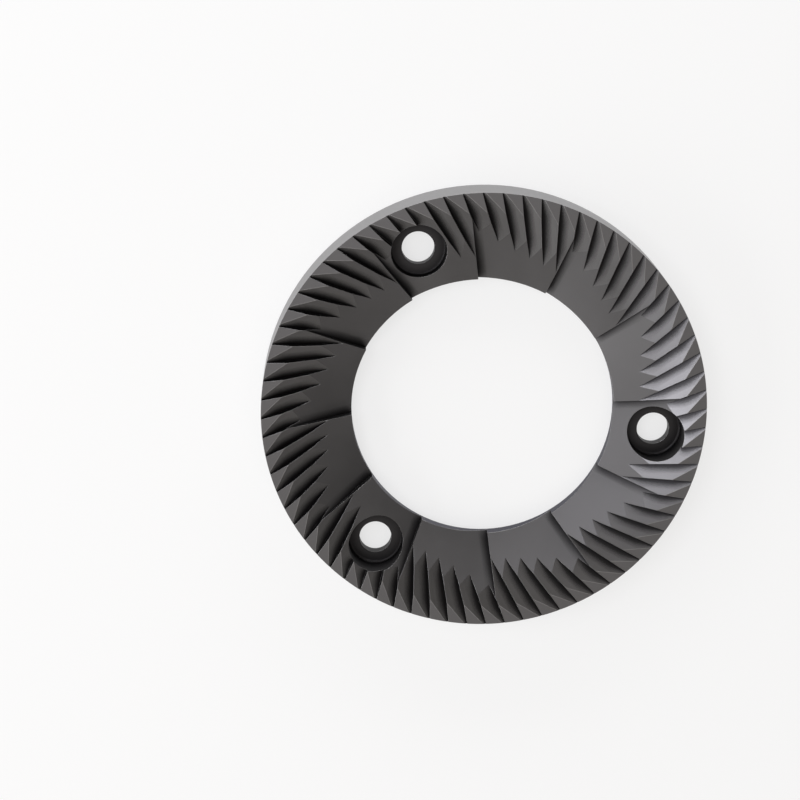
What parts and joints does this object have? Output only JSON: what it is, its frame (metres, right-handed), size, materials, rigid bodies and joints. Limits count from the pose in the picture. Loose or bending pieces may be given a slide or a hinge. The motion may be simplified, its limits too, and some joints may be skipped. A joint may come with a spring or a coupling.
{
  "type": "coffee grinder burr",
  "caption": "Flat ring-shaped steel burr with breaker ramps, fine radial cutting teeth and counterbored screw holes, for grinding coffee beans against a matching burr.",
  "frame": {"origin": "centre of the flat back face, on the ring's axis", "axes": "+Z along the ring's axis, from the back face to the teeth; +X points to the rim between two grooves"},
  "size_m": [0.064, 0.064, 0.0072],
  "materials": {
    "coated_steel": "dark satin coating on hardened steel"
  },
  "bodies": {
    "root": {"grinding_burr": "coated_steel"}
  },
  "joints": []
}
